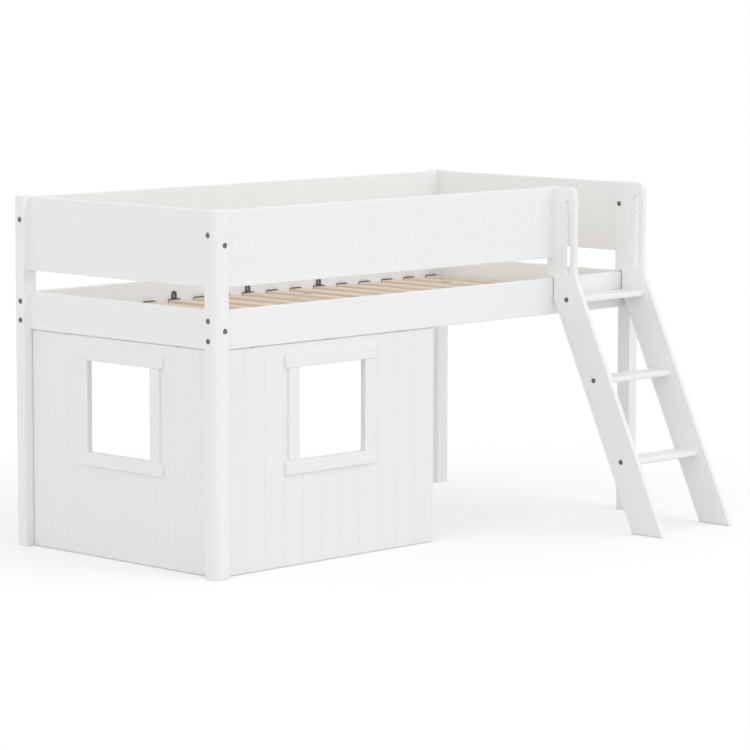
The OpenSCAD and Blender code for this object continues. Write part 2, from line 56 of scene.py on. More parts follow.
print("pieces in the packed model:", len(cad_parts))

# %% [markdown]
# ## The camera
#
# A product photograph of a bed is taken from far away with a long lens, so that the
# posts stay nearly parallel. The place of this camera was worked out from the straight
# edges in the picture. A camera could also be aimed with a Track To constraint, but
# three plain angles say more: how far it looks down, how far it is turned towards the
# left end of the bed, and the slight tilt of its horizon.

# %% Camera
CAMERA_PLACE = (-8.7281, -8.4408, 2.0275)
LOOKS_DOWN = radians(6.89)
TURNED = radians(-45.77)
HORIZON_TILT = radians(0.10)
FOCAL_PIXELS = 3515.06
PICTURE_PIXELS = 750
SENSOR_MM = 36
SEES_AS_FAR_AS = 400


def make_camera():
    """The camera, aimed by its three angles and made the scene's own."""
    data = bpy.data.cameras.new("photo_camera")
    data.sensor_width = SENSOR_MM
    data.lens = FOCAL_PIXELS * SENSOR_MM / PICTURE_PIXELS
    data.clip_end = SEES_AS_FAR_AS
    camera = bpy.data.objects.new("photo_camera", data)
    bpy.context.scene.collection.objects.link(camera)
    aim = Euler((pi / 2 - LOOKS_DOWN, 0, TURNED)).to_matrix().to_4x4()
    camera.matrix_world = (
        Matrix.Translation(CAMERA_PLACE) @ aim @ Matrix.Rotation(HORIZON_TILT, 4, "Z")
    )
    bpy.context.scene.camera = camera
    return camera


camera = make_camera()
print("lens in mm:", round(camera.data.lens, 1))

# %% [markdown]
# ## A small kit for materials
#
# Every finish below is a Principled shader with a few texture nodes in front of it. The
# textures read Object coordinates. All pieces sit at the origin with their place in
# their mesh, so these coordinates are the real room coordinates in metres, and a noise
# scale of 100 means a blotch of about a centimetre on every piece alike. The scales
# carry names below, so that the size of each effect can be read off.


# %% Helpers for materials
def new_material(name, roughness, metallic=0.0, coat=0.0):
    """A node material with its texture coordinates; returns material, shader and coordinates."""
    material = bpy.data.materials.new(name)
    material.use_nodes = True
    shader = material.node_tree.nodes["Principled BSDF"]
    shader.inputs["Roughness"].default_value = roughness
    shader.inputs["Metallic"].default_value = metallic
    shader.inputs["Coat Weight"].default_value = coat
    place = material.node_tree.nodes.new("ShaderNodeTexCoord")
    return material, shader, place.outputs["Object"]


def add_node(material, kind, links=(), **settings):
    """Adds a node, joins its inputs to the given sockets and sets its plain values."""
    node = material.node_tree.nodes.new(kind)
    for name, value in settings.items():
        if name in node.inputs:
            node.inputs[name].default_value = value
        else:
            setattr(node, name, value)
    for name, socket in links:
        material.node_tree.links.new(socket, node.inputs[name])
    return node


def stretched(material, coords, scale):
    """The coordinates scaled along each axis, so that a round noise turns into a long grain."""
    node = add_node(material, "ShaderNodeMapping", [("Vector", coords)])
    node.inputs["Scale"].default_value = scale
    return node.outputs["Vector"]


def noise(material, coords, scale, detail=3.0):
    """A soft noise between 0 and 1; more detail adds finer blotches."""
    node = add_node(
        material, "ShaderNodeTexNoise", [("Vector", coords)], Scale=scale, Detail=detail
    )
    node.inputs["Roughness"].default_value = 0.5
    return node.outputs["Fac"]


def ramp(material, factor, stops):
    """A colour ramp; stops are (place from 0 to 1, colour)."""
    node = add_node(material, "ShaderNodeValToRGB", [("Fac", factor)])
    node.color_ramp.elements[0].position = stops[0][0]
    node.color_ramp.elements[0].color = (*stops[0][1], 1)
    node.color_ramp.elements[1].position = stops[-1][0]
    node.color_ramp.elements[1].color = (*stops[-1][1], 1)
    for place, colour in stops[1:-1]:
        element = node.color_ramp.elements.new(place)
        element.color = (*colour, 1)
    return node.outputs["Color"]


def number_range(material, factor, low, high):
    """Stretches a noise to the values that a roughness should have."""
    node = add_node(
        material, "ShaderNodeMapRange", [("Value", factor)], **{"From Min": 0.3, "From Max": 0.7}
    )
    node.inputs["To Min"].default_value = low
    node.inputs["To Max"].default_value = high
    return node.outputs["Result"]


def raised(material, shader, height, strength, distance):
    """Turns a height texture into bump on the shader, or on top of an earlier bump."""
    bump = add_node(
        material, "ShaderNodeBump", [("Height", height)], Strength=strength, Distance=distance
    )
    earlier = shader.inputs["Normal"].links
    if earlier:
        material.node_tree.links.new(earlier[0].from_socket, bump.inputs["Normal"])
    material.node_tree.links.new(bump.outputs["Normal"], shader.inputs["Normal"])


def feed(material, shader, **sockets):
    """Joins texture sockets to the shader's inputs of the same name."""
    for name, socket in sockets.items():
        material.node_tree.links.new(socket, shader.inputs[name.replace("_", " ")])


# %% [markdown]
# ## Satin white paint
#
# The boards are sprayed with several coats of white water-based lacquer. It is not a
# flat white: the film is a little uneven, which shows as a faint orange peel where the
# light grazes it, and the sheen wanders with it. A sheet of plain white would look like
# paper. Two very close whites and a roughness that moves between two values do the rest.
# The fluted guard board, the play panels and the window frames are fibreboard, where no grain shows
# through. The panels and their window frames get the same lacquer a shade greyer: painted shade for
# the lesser light that reaches the lower part of the bed.

# %% White paint
WHITE = (0.915, 0.915, 0.913)
WHITE_COOL = (0.907, 0.908, 0.907)
# Painted shade: the panel whites are the board whites made a shade greyer, for the lesser light
# that reaches the lower part of the bed.
PANEL_WHITE_PAINTED_SHADE = (0.9, 0.9, 0.899)
PANEL_WHITE_COOL_PAINTED_SHADE = (0.892, 0.893, 0.892)
CLOUDS, SHEEN_PATCHES, ORANGE_PEEL = 7.0, 60.0, 520.0
FIBRE_ACROSS, FIBRE_ALONG = 160.0, 4.0


def satin_white(name, cool, warm, grain_along=None):
    """White lacquer; grain_along names the axis along which the wood telegraphs through."""
    material, shader, coords = new_material(name, 0.42)
    cloudy = noise(material, coords, CLOUDS, detail=2.0)
    feed(
        material, shader,
        Base_Color=ramp(material, cloudy, [(0.35, cool), (0.65, warm)]),
        Roughness=number_range(material, noise(material, coords, SHEEN_PATCHES), 0.38, 0.48),
    )
    peel = noise(material, coords, ORANGE_PEEL, detail=2.0)
    raised(material, shader, peel, strength=0.08, distance=0.2 * MM)
    if grain_along:
        scale = [FIBRE_ACROSS] * 3
        scale["XYZ".index(grain_along)] = FIBRE_ALONG
        fibres = noise(material, stretched(material, coords, scale), 1.0, detail=4.0)
        raised(material, shader, fibres, strength=0.06, distance=0.3 * MM)
    return material


PAINT = {axis: satin_white("white_paint_along_" + axis.lower(), WHITE_COOL, WHITE, axis)
         for axis in "XYZ"}
FLUTED_PAINT = satin_white("white_paint_fluted", WHITE_COOL, WHITE)
# Painted shade: the panels and their window frames use the greyer copy of the lacquer.
PANEL_PAINT_PAINTED_SHADE = satin_white("white_paint_panels_painted_shade", PANEL_WHITE_COOL_PAINTED_SHADE, PANEL_WHITE_PAINTED_SHADE)
whites = [*PAINT.values(), FLUTED_PAINT, PANEL_PAINT_PAINTED_SHADE]
print("white paints:", [material.name for material in whites])

# %% [markdown]
# ## Pine for the slats
#
# Slats are planed pine with no finish: pale yellow early wood and thin orange late wood
# in long stripes, with a knot now and then. An image texture would be quick, but it
# shows its edges on the sawn ends. Here rings are drawn in the round: a Wave texture in
# rings mode, squeezed along the grain and bent by noise, gives stripes on the flats and
# arcs on the ends from one and the same pattern.

# %% Pine
PINE_EARLY = (0.79, 0.68, 0.545)
PINE_LATE = (0.68, 0.53, 0.38)
PINE_KNOT = (0.36, 0.22, 0.12)
RING_STRETCH = (9.0, 0.55, 9.0)
KNOT_STRETCH = (8.0, 3.2, 8.0)
PINE_FIBRE_STRETCH = (300.0, 8.0, 300.0)
KNOT_CORE, KNOT_RIM = 0.05, 0.11


def planed_pine(name):
    """Pine whose grain runs along Y, as the slats lie."""
    material, shader, coords = new_material(name, 0.6)
    along = stretched(material, coords, RING_STRETCH)
    rings = add_node(
        material, "ShaderNodeTexWave", [("Vector", along)],
        wave_type="RINGS", rings_direction="Y", Scale=3.2, Distortion=5.0, Detail=2.5,
    )
    rings.inputs["Detail Scale"].default_value = 1.4
    stripes = ramp(
        material, rings.outputs["Fac"],
        [(0.0, PINE_EARLY), (0.62, PINE_EARLY), (0.9, PINE_LATE), (1.0, PINE_EARLY)],
    )
    spots = add_node(
        material, "ShaderNodeTexVoronoi",
        [("Vector", stretched(material, coords, KNOT_STRETCH))], Scale=1.0,
    )
    knots = ramp(
        material, spots.outputs["Distance"], [(KNOT_CORE, (1, 1, 1)), (KNOT_RIM, (0, 0, 0))]
    )
    wood = add_node(
        material, "ShaderNodeMix", [("Factor", knots), ("A", stripes)], data_type="RGBA"
    )
    wood.inputs["B"].default_value = (*PINE_KNOT, 1)
    fibres = noise(material, stretched(material, coords, PINE_FIBRE_STRETCH), 1.0, detail=3.0)
    feed(
        material, shader,
        Base_Color=wood.outputs["Result"],
        Roughness=number_range(material, fibres, 0.52, 0.7),
    )
    raised(material, shader, fibres, strength=0.3, distance=0.4 * MM)
    return material


PINE = planed_pine("planed_pine")
print("pine nodes:", len(PINE.node_tree.nodes))

# %% [markdown]
# ## Metal and plastic
#
# Furniture bolts are zinc plated and passivated to a dark grey, with faint marks of the
# lathe on the head. The shoes that hold the slats are moulded from black polypropylene,
# whose eroded mould leaves a fine, dull grain. Both are seen small here, so their detail
# sits in roughness and a shallow bump and not in extra geometry.


# %% Metal and plastic
BLACK_DEEP = (0.075, 0.075, 0.072)
BLACK_WORN = (0.12, 0.118, 0.115)
PLATING_PATCHES, TURNING_MARKS, MOULD_GRAIN = 240.0, 2600.0, 1500.0


def plated_steel(name, dark, light):
    """Zinc plating between two greys, patchy in sheen."""
    material, shader, coords = new_material(name, 0.38, metallic=0.85)
    patches = noise(material, coords, PLATING_PATCHES, detail=4.0)
    feed(
        material, shader,
        Base_Color=ramp(material, patches, [(0.3, dark), (0.7, light)]),
        Roughness=number_range(material, patches, 0.3, 0.5),
    )
    marks = noise(material, coords, TURNING_MARKS, detail=2.0)
    raised(material, shader, marks, strength=0.15, distance=0.1 * MM)
    return material


def moulded_black(name):
    """Black polypropylene with the dull grain of an eroded mould."""
    material, shader, coords = new_material(name, 0.55)
    grain = noise(material, coords, MOULD_GRAIN, detail=2.0)
    feed(
        material, shader,
        Base_Color=ramp(material, grain, [(0.3, BLACK_DEEP), (0.7, BLACK_WORN)]),
        Roughness=number_range(material, grain, 0.48, 0.64),
    )
    raised(material, shader, grain, strength=0.25, distance=0.2 * MM)
    return material


DARK_STEEL = plated_steel("dark_plated_steel", (0.15, 0.15, 0.155), (0.22, 0.22, 0.225))
ZINC = plated_steel("zinc_plated_steel", (0.42, 0.42, 0.43), (0.58, 0.58, 0.58))
BLACK = moulded_black("moulded_black_plastic")
print("metals and plastic:", DARK_STEEL.name, ZINC.name, BLACK.name)

# %% [markdown]
# ## One way to build every board
#
# A cabinet maker runs a router round every board, so no edge is sharp. In Blender a cube
# with a Bevel modifier would do for a plain board, but the posts have one big round
# corner, the window boards have round ends and the ladder sides have a hook and a slot.
# So one function takes an outline, with holes if there are any, and pulls it out to a
# plank. Its edges are rounded by rings of points that step in from the outline along a
# quarter circle, the way a loft would. The outline is a plain list of points, and arcs
# in it come from a formula.


# %% Outlines
def arc(centre, radius, start, end, steps=6):
    """Points along an arc, angles in degrees."""
    angles = [radians(start + (end - start) * i / steps) for i in range(steps + 1)]
    return [(centre[0] + radius * cos(a), centre[1] + radius * sin(a)) for a in angles]


def rounded_rectangle(low, high, radii, steps=6):
    """Anticlockwise from the lower left corner, with one radius per corner."""
    corners = [(low[0], low[1], 180), (high[0], low[1], 270),
               (high[0], high[1], 0), (low[0], high[1], 90)]
    points = []
    for (x, y, start), radius in zip(corners, radii):
        inward = (1 if x == low[0] else -1, 1 if y == low[1] else -1)
        centre = (x + inward[0] * radius, y + inward[1] * radius)
        points += arc(centre, radius, start, start + 90, steps)
    return points


def stepped_in(points, distance):
    """The outline moved towards its left side, which is where the wood is."""
    moved = []
    for i, point in enumerate(points):
        here = Vector(point)
        before = (here - Vector(points[i - 1])).normalized()
        after = (Vector(points[(i + 1) % len(points)]) - here).normalized()
        left_before = Vector((-before.y, before.x))
        left_after = Vector((-after.y, after.x))
        mitre = (left_before + left_after) / (1 + left_before.dot(left_after))
        moved.append(here + mitre * distance)
    return moved


# %% [markdown]
# The plank itself: each ring is a copy of the outline at some depth, neighbouring rings
# are joined by quads, and the first and last ring are closed with Triangle Fill, which
# copes with holes. `turn` says how the outline's two directions and the depth lie in the
# room.


# %% Planks
EDGE_STEPS = 4
LEAST_EDGE = 0.01 * MM
LIES = {
    "X": lambda u, v, w: (w, u, v),
    "Y": lambda u, v, w: (u, -w, v),
    "Z": lambda u, v, w: (u, v, w),
}


def edge_rings(depth, low_edge, high_edge):
    """(step in, depth) of every ring, from the low face to the high face."""
    turns = [i / EDGE_STEPS * pi / 2 for i in range(EDGE_STEPS + 1)]
    low = [(low_edge * (1 - sin(t)), low_edge * (1 - cos(t))) for t in turns]
    high = [(high_edge * (1 - cos(t)), depth - high_edge * (1 - sin(t))) for t in turns]
    return low + high


def plank(loops, depth, turn="Z", low_edge=0.0, high_edge=0.0, start=(0, 0, 0), hole_edge=None):
    """A bmesh pulled out of closed loops; the first is the outside, the rest are holes."""
    body = bmesh.new()
    outer_rings = edge_rings(depth, max(low_edge, LEAST_EDGE), max(high_edge, LEAST_EDGE))
    hole_rings = edge_rings(depth, hole_edge, hole_edge) if hole_edge else outer_rings
    ends = {0: [], len(outer_rings) - 1: []}
    for k, loop in enumerate(loops):
        rings = hole_rings if k else outer_rings
        rows = []
        for step, w in rings:
            moved = [LIES[turn](p.x, p.y, w) for p in stepped_in(loop, step)]
            rows.append([body.verts.new(Vector(place) + Vector(start)) for place in moved])
        for lower, upper in zip(rows, rows[1:]):
            for i in range(len(loop)):
                j = (i + 1) % len(loop)
                body.faces.new((lower[i], lower[j], upper[j], upper[i]))
        for end, edges in ends.items():
            row = rows[end]
            edges += [body.edges.get((row[i - 1], row[i])) for i in range(len(row))]
    for edges in ends.values():
        bmesh.ops.triangle_fill(body, use_beauty=True, edges=edges)
    bmesh.ops.recalc_face_normals(body, faces=body.faces)
    return body


def finished_piece(name, body, material, node, sharp=50):
    """Gives a mesh its object, finish and smooth shading, and lets it stand for a node."""
    mesh = bpy.data.meshes.new(name)
    body.to_mesh(mesh)
    body.free()
    mesh.materials.append(material)
    mesh.polygons.foreach_set("use_smooth", [True] * len(mesh.polygons))
    mesh.set_sharp_from_angle(angle=radians(sharp))
    piece = bpy.data.objects.new(name, mesh)
    bpy.context.scene.collection.objects.link(piece)
    piece.modifiers.new("even_shading", "WEIGHTED_NORMAL").keep_sharp = True
    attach(piece, "root")
    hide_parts(node)
    return piece


# %% [markdown]
# ## Boards, rails, slats and rungs
#
# Most pieces are straight boards. Each one is a small rounded section pulled out along
# the longest side of its box. Only the section's radii differ: guard boards, rails and
# slats have 3 mm all round, a rung has fatter front edges where the toes meet it, and
# the hidden battens are just broken with a plane.

# %% Straight boards
END_EDGE = 0.5 * MM
BOARD_EDGE, BATTEN_EDGE, SLAT_EDGE = 3 * MM, 1.5 * MM, 3 * MM
SLAT_END_EDGE = 1 * MM
RUNG_FRONT, RUNG_BACK = 6 * MM, 3.5 * MM


def straight_board(node, radii, material=None, end_edge=END_EDGE):
    """A board with the box of its node; radii belong to the corners of its section."""
    low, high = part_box(node)
    size = high - low
    axis = "XYZ"[max(range(3), key=lambda i: size[i])]
    if axis == "X":
        loop = rounded_rectangle((low.y, low.z), (high.y, high.z), radii)
        body = plank([loop], size.x, "X", end_edge, end_edge, (low.x, 0, 0))
    elif axis == "Y":
        loop = rounded_rectangle((low.x, low.z), (high.x, high.z), radii)
        body = plank([loop], size.y, "Y", end_edge, end_edge, (0, high.y, 0))
    else:
        loop = rounded_rectangle((low.x, low.y), (high.x, high.y), radii)
        body = plank([loop], size.z, "Z", end_edge, end_edge, (0, 0, low.z))
    return finished_piece(node + "_wood", body, material or PAINT[axis], node)


for node in ("back_guard", "left_end_guard", "right_end_guard", "front_rail", "back_rail",
             "left_end_rail", "right_end_rail"):
    straight_board(node, [BOARD_EDGE] * 4)

for node in ("front_slat_batten", "back_slat_batten"):
    straight_board(node, [BATTEN_EDGE] * 4)

slats = [straight_board(node, [SLAT_EDGE] * 4, PINE, SLAT_END_EDGE)
         for node in sorted(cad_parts) if node.startswith("slat_") and node[-1].isdigit()]

for node in ("rung_top", "rung_middle", "rung_bottom"):
    straight_board(node, [RUNG_FRONT, RUNG_BACK, RUNG_BACK, RUNG_FRONT])
print("slats:", len(slats))

# %% [markdown]
# ## Posts and legs
#
# Post and leg are one square of 57 mm with a big round on the corner that faces the
# room, so that nobody bumps against an edge. They meet at a hairline joint below the
# rails. A joint reads as a fine shadow, and the cheapest honest way to get it is to
# round both edges there by 1.5 mm, as sandpaper leaves them.

# %% Posts and legs
POST_ROUND = 24 * MM
TOP_EDGE, JOINT_EDGE, FLOOR_EDGE = 3 * MM, 1.5 * MM, 2 * MM
OUTER_CORNER = {"front_left": 0, "front_right": 1, "back_right": 2, "back_left": 3}


def post_piece(kind, place, low_edge, high_edge):
    """A post or leg with the big round on its outer corner."""
    node = kind + "_" + place
    low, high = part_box(node)
    radii = [BOARD_EDGE] * 4
    radii[OUTER_CORNER[place]] = POST_ROUND
    loop = rounded_rectangle((low.x, low.y), (high.x, high.y), radii, steps=12)
    body = plank([loop], high.z - low.z, "Z", low_edge, high_edge, (0, 0, low.z))
    return finished_piece(node + "_wood", body, PAINT["Z"], node)


for place in OUTER_CORNER:
    post_piece("post", place, JOINT_EDGE, TOP_EDGE)
    post_piece("leg", place, FLOOR_EDGE, JOINT_EDGE)
print("posts on legs:", len(OUTER_CORNER))

# %% [markdown]
# ## The fluted guard board
#
# The front guard board is divided into eighty upright ribs, about 20 mm apart, by narrow
# flutes, milled with a round cutter that lifts out before it reaches the long edges.
# Cutting so many grooves with booleans would be slow and would leave untidy faces.
# Instead the front face is one grid of points, dense across the flutes, and a formula
# pushes each point back by the depth of the cutter at that place. The same formula lets
# each flute run out at its ends.

# %% Fluted guard board
RIBS = 80
FLUTE_RADIUS, FLUTE_DEPTH = 4 * MM, 1.5 * MM
FLUTE_MARGIN, FLUTE_RUN = 10 * MM, 24 * MM
ACROSS_FLUTE, ALONG_RUN = 8, 8
ROWS_BETWEEN = (0.3, 0.5, 0.7)
FLUTE_SHARP = 62


def flute_depth_at(off_centre, off_end):
    """Depth of the cut at a distance from a flute's centre line and from its nearer end."""
    lifted = FLUTE_DEPTH * min(1.0, max(0.0, off_end / FLUTE_RUN))
    reach = FLUTE_RADIUS - FLUTE_DEPTH + lifted
    if lifted == 0 or abs(off_centre) >= reach:
        return 0.0
    return max(0.0, (reach**2 - off_centre**2) ** 0.5 - (FLUTE_RADIUS - FLUTE_DEPTH))


def flute_columns(length):
    """Places along the board: flat ribs need two columns, the hollows need a few more."""
    pitch = length / RIBS
    half = (FLUTE_RADIUS**2 - (FLUTE_RADIUS - FLUTE_DEPTH) ** 2) ** 0.5
    columns = [(0.0, None)]
    for i in range(1, RIBS):
        for k in range(ACROSS_FLUTE + 1):
            off = -half * cos(pi * k / ACROSS_FLUTE)
            columns.append((i * pitch + off, off))
    return columns + [(length, None)]


def fluted_board(node):
    """The board as one grid of points: a closed strip round it at every column."""
    low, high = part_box(node)
    height, thickness = high.z - low.z, high.y - low.y
    run_out = [FLUTE_MARGIN + FLUTE_RUN * i / ALONG_RUN for i in range(ALONG_RUN + 1)]
    flat = run_out + [height * share for share in ROWS_BETWEEN]
    flat += [height - h for h in reversed(run_out)]
    turns = [i / EDGE_STEPS * pi / 2 for i in range(EDGE_STEPS + 1)]
    edge = [(BOARD_EDGE * (1 - cos(t)), BOARD_EDGE * (1 - sin(t))) for t in turns]
    front_rows = edge + [(h, 0.0) for h in flat] + [(height - h, y) for h, y in reversed(edge)]
    back_rows = [(height - h, thickness - y) for h, y in edge]
    back_rows += [(h, thickness - y) for h, y in reversed(edge)]
    body = bmesh.new()
    strips = []
    for x, off in flute_columns(high.x - low.x):
        strip = []
        for h, y in front_rows:
            cut = 0.0 if off is None else flute_depth_at(off, min(h, height - h) - FLUTE_MARGIN)
            strip.append(body.verts.new((low.x + x, low.y + y + cut, low.z + h)))
        for h, y in back_rows:
            strip.append(body.verts.new((low.x + x, low.y + y, low.z + h)))
        strips.append(strip)
    for left, right in zip(strips, strips[1:]):
        for i in range(len(left)):
            j = (i + 1) % len(left)
            body.faces.new((left[i], right[i], right[j], left[j]))
    body.faces.new(strips[0])
    body.faces.new(reversed(strips[-1]))
    bmesh.ops.recalc_face_normals(body, faces=body.faces)
    return finished_piece(node + "_wood", body, FLUTED_PAINT, node, FLUTE_SHARP)


guard = fluted_board("front_guard")
print("faces of the fluted board:", len(guard.data.polygons))

# %% [markdown]
# ## Play panels
#
# Each panel is a 12 mm sheet with V grooves that make it look like boards. Seen from
# above, the sheet is a thin strip with notches, so its outline is drawn in plan and
# pulled upwards. The cutter goes 3 mm deep, but sprayed paint gathers at the bottom of a
# narrow V, so the notches here stop at 2.2 mm. The window is cut afterwards with a
# Boolean modifier, the tool closest to the jigsaw that makes the real one, and the
# modifier is then applied.

# %% Play panels
GROOVE_PITCH, GROOVE_DEPTH = 89 * MM, 2.2 * MM
GROOVE_WIDTH, GROOVE_LIP, LIP_TURN = 3.5 * MM, 0.5 * MM, 0.2 * MM
FRONT_GROOVE_START, GROOVE_REST = 10 * MM, 20 * MM
GROOVES_BEFORE_MIDDLE = 4
PANEL_EDGE, PANEL_END_EDGE = 1.2 * MM, 0.4 * MM
PANEL_SHARP = 30
WINDOW = 310 * MM
WINDOW_ROUND = 8 * MM
THROUGH = 40 * MM
PANEL_NODES = {
    "end": {"panel": "end_play_panel", "trim": "end_window_"},
    "front": {"panel": "front_play_panel", "trim": "front_window_"},
}


def grooved_plan(length, thickness, first_groove):
    """Plan of a panel with its outer face at 0 and its grooves cut from there."""
    points = arc((PANEL_EDGE, PANEL_EDGE), PANEL_EDGE, 180, 270, 3)
    half = GROOVE_WIDTH / 2
    place = first_groove
    while place < length - GROOVE_REST:
        points += [(place - half - GROOVE_LIP, 0), (place - half + LIP_TURN, GROOVE_LIP),
                   (place, GROOVE_DEPTH),
                   (place + half - LIP_TURN, GROOVE_LIP), (place + half + GROOVE_LIP, 0)]
        place += GROOVE_PITCH
    points += arc((length - PANEL_EDGE, PANEL_EDGE), PANEL_EDGE, 270, 360, 3)
    return points + [(length, thickness), (0, thickness)]


def saw_out(piece, body, sharp):
    """Cuts a closed form out of a piece, makes the cut final and shades the piece again."""
    mesh = bpy.data.meshes.new("cutter")
    body.to_mesh(mesh)
    body.free()
    cutter = bpy.data.objects.new("cutter", mesh)
    bpy.context.scene.collection.objects.link(cutter)
    piece.modifiers.clear()
    saw = piece.modifiers.new("saw", "BOOLEAN")
    saw.object, saw.operation, saw.solver = cutter, "DIFFERENCE", "EXACT"
    cut = piece.evaluated_get(bpy.context.evaluated_depsgraph_get())
    done = bpy.data.meshes.new_from_object(cut)
    piece.modifiers.clear()
    piece.data = done
    bpy.data.objects.remove(cutter)
    done.set_sharp_from_angle(angle=radians(sharp))
    piece.modifiers.new("even_shading", "WEIGHTED_NORMAL").keep_sharp = True


def cut_window(panel, low, high):
    """Cuts a round-cornered opening right through a panel, along its thin side."""
    thin_x = high.x - low.x < high.y - low.y
    centre_z = (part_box("end_window_sill")[1].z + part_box("end_window_header")[0].z) / 2
    trim = "end_window_sill" if thin_x else "front_window_sill"
    trim_low, trim_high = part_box(trim)
    middle = (trim_low.y + trim_high.y) / 2 if thin_x else (trim_low.x + trim_high.x) / 2
    loop = rounded_rectangle(
        (middle - WINDOW / 2, centre_z - WINDOW / 2),
        (middle + WINDOW / 2, centre_z + WINDOW / 2), [WINDOW_ROUND] * 4,
    )
    start = (low.x - THROUGH / 4, 0, 0) if thin_x else (0, high.y + THROUGH / 4, 0)
    saw_out(panel, plank([loop], THROUGH, "X" if thin_x else "Y", 0, 0, start), PANEL_SHARP)


def play_panel(node):
    """A grooved panel with its window; the end panel's grooves keep to its middle."""
    low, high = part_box(node)
    size = high - low
    along_y = size.y > size.x
    length, thickness = (size.y, size.x) if along_y else (size.x, size.y)
    if along_y:
        first = length / 2 - GROOVES_BEFORE_MIDDLE * GROOVE_PITCH
        plan = [(low.x + v, low.y + u) for u, v in reversed(grooved_plan(length, thickness, first))]
    else:
        first = FRONT_GROOVE_START
        plan = [(low.x + u, low.y + v) for u, v in grooved_plan(length, thickness, first)]
    body = plank([plan], size.z, "Z", PANEL_END_EDGE, PANEL_END_EDGE, (0, 0, low.z))
    panel = finished_piece(node + "_board", body, PANEL_PAINT_PAINTED_SHADE, node, PANEL_SHARP)
    cut_window(panel, low, high)
    return panel


panels = [play_panel(names["panel"]) for names in PANEL_NODES.values()]
print("panel faces:", [len(panel.data.polygons) for panel in panels])

# %% [markdown]
# ## Window frames
#
# A header and a sill with round ends, and two uprights between them, are glued round
# each opening. They are flat boards again, lying against the panel, so their front edge
# is well rounded and their back edge, which is never seen, hardly at all.

# %% Window frames
TRIM_EDGE = 2.5 * MM
TRIM_ROUND = 8 * MM
TRIM_BACK = 0.3 * MM


def level_board(node):
    """A header or sill: its outline has round ends and its front edge is rounded too."""
    low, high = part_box(node)
    size = high - low
    if size.x < size.y:
        loop = rounded_rectangle((low.y, low.z), (high.y, high.z), [TRIM_ROUND] * 4)
        body = plank([loop], size.x, "X", TRIM_EDGE, TRIM_BACK, (low.x, 0, 0))
    else:
        loop = rounded_rectangle((low.x, low.z), (high.x, high.z), [TRIM_ROUND] * 4)
        body = plank([loop], size.y, "Y", TRIM_BACK, TRIM_EDGE, (0, high.y, 0))
    return finished_piece(node + "_board", body, PANEL_PAINT_PAINTED_SHADE, node)


def upright_board(node):
    """A board between header and sill: long front edges rounded, ends cut square."""
    low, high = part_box(node)
    size = high - low
    radii = [TRIM_BACK] * 4
    for corner in (0, 3) if size.x < size.y else (0, 1):
        radii[corner] = TRIM_EDGE
    loop = rounded_rectangle((low.x, low.y), (high.x, high.y), radii)
    body = plank([loop], size.z, "Z", 0, 0, (0, 0, low.z))
    return finished_piece(node + "_board", body, PANEL_PAINT_PAINTED_SHADE, node)


for names in PANEL_NODES.values():
    for part in ("header", "sill"):
        level_board(names["trim"] + part)
    for part in ("left_frame", "right_frame"):
        upright_board(names["trim"] + part)
print("frame boards:", 4 * len(PANEL_NODES))

# %% [markdown]
# ## The ladder
#
# A ladder side is one board: upright beside the mattress, with a slot to hold on to,
# then leaning out to the floor, with a step cut in its back that hooks over the rail. It
# is the shape that takes the most care on this bed. The outline is walked once round,
# anticlockwise, from the foot, and every corner is worked out from the rail, the post
# and the lean, so the hook still fits if one of them changes.

# %% Ladder sides
LEAN_DEGREES = 25
LEAN = radians(LEAN_DEGREES)
SIDE_WIDTH = 127.5 * MM
BEND_ABOVE_RAIL, BEND_RADIUS = 17 * MM, 95 * MM
SIDE_TOP_ROUND = 30 * MM
HOOK_CLEARANCE = 3 * MM
SLOT_WIDTH, SLOT_HEIGHT, SLOT_IN, SLOT_DROP = 25 * MM, 258 * MM, 37 * MM, 49 * MM
SIDE_EDGE = 5.5 * MM
SLOT_EDGE = 4.5 * MM
NOT_QUITE_ROUND = 1e-6
LADDER_SHARP = 35


def side_outline(node):
    """Outside and slot of a ladder side, in the room's Y and Z."""
    low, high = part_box(node)
    rail_low, rail_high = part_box("front_rail")
    back = high.y
    bend_z = rail_high.z + BEND_ABOVE_RAIL
    front = low.y + bend_z * tan(LEAN)
    level_width = SIDE_WIDTH / cos(LEAN)
    hook_y, hook_z = rail_low.y - HOOK_CLEARANCE, rail_high.z + HOOK_CLEARANCE
    hook_low_z = (hook_y - level_width - low.y) / tan(LEAN)
    reach = BEND_RADIUS * tan(LEAN / 2)
    bend_centre = (front - BEND_RADIUS, bend_z + reach)
    top_centre = (front + SIDE_TOP_ROUND, high.z - SIDE_TOP_ROUND)
    outside = [(low.y, 0), (low.y + level_width, 0), (hook_y, hook_low_z), (hook_y, hook_z),
               (back, hook_z), (back, high.z)]
    outside += arc(top_centre, SIDE_TOP_ROUND, 90, 180, 10)
    bend = arc(bend_centre, BEND_RADIUS, 0, -LEAN_DEGREES, 8)
    slot_low = (front + SLOT_IN - SLOT_WIDTH / 2, high.z - SLOT_DROP - SLOT_HEIGHT)
    slot_high = (slot_low[0] + SLOT_WIDTH, slot_low[1] + SLOT_HEIGHT)
    slot_round = SLOT_WIDTH / 2 - NOT_QUITE_ROUND
    slot = rounded_rectangle(slot_low, slot_high, [slot_round] * 4, steps=8)
    return outside + bend, slot[::-1]


def ladder_side(node):
    """A ladder side, as thick as its box is wide."""
    low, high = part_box(node)
    outside, slot = side_outline(node)
    start = (low.x, 0, 0)
    body = plank([outside, slot], high.x - low.x, "X", SIDE_EDGE, SIDE_EDGE, start, SLOT_EDGE)
    return finished_piece(node + "_wood", body, PAINT["Z"], node, LADDER_SHARP)


sides = [ladder_side(node) for node in ("ladder_left_side", "ladder_right_side")]
print("ladder sides:", [side.name for side in sides])

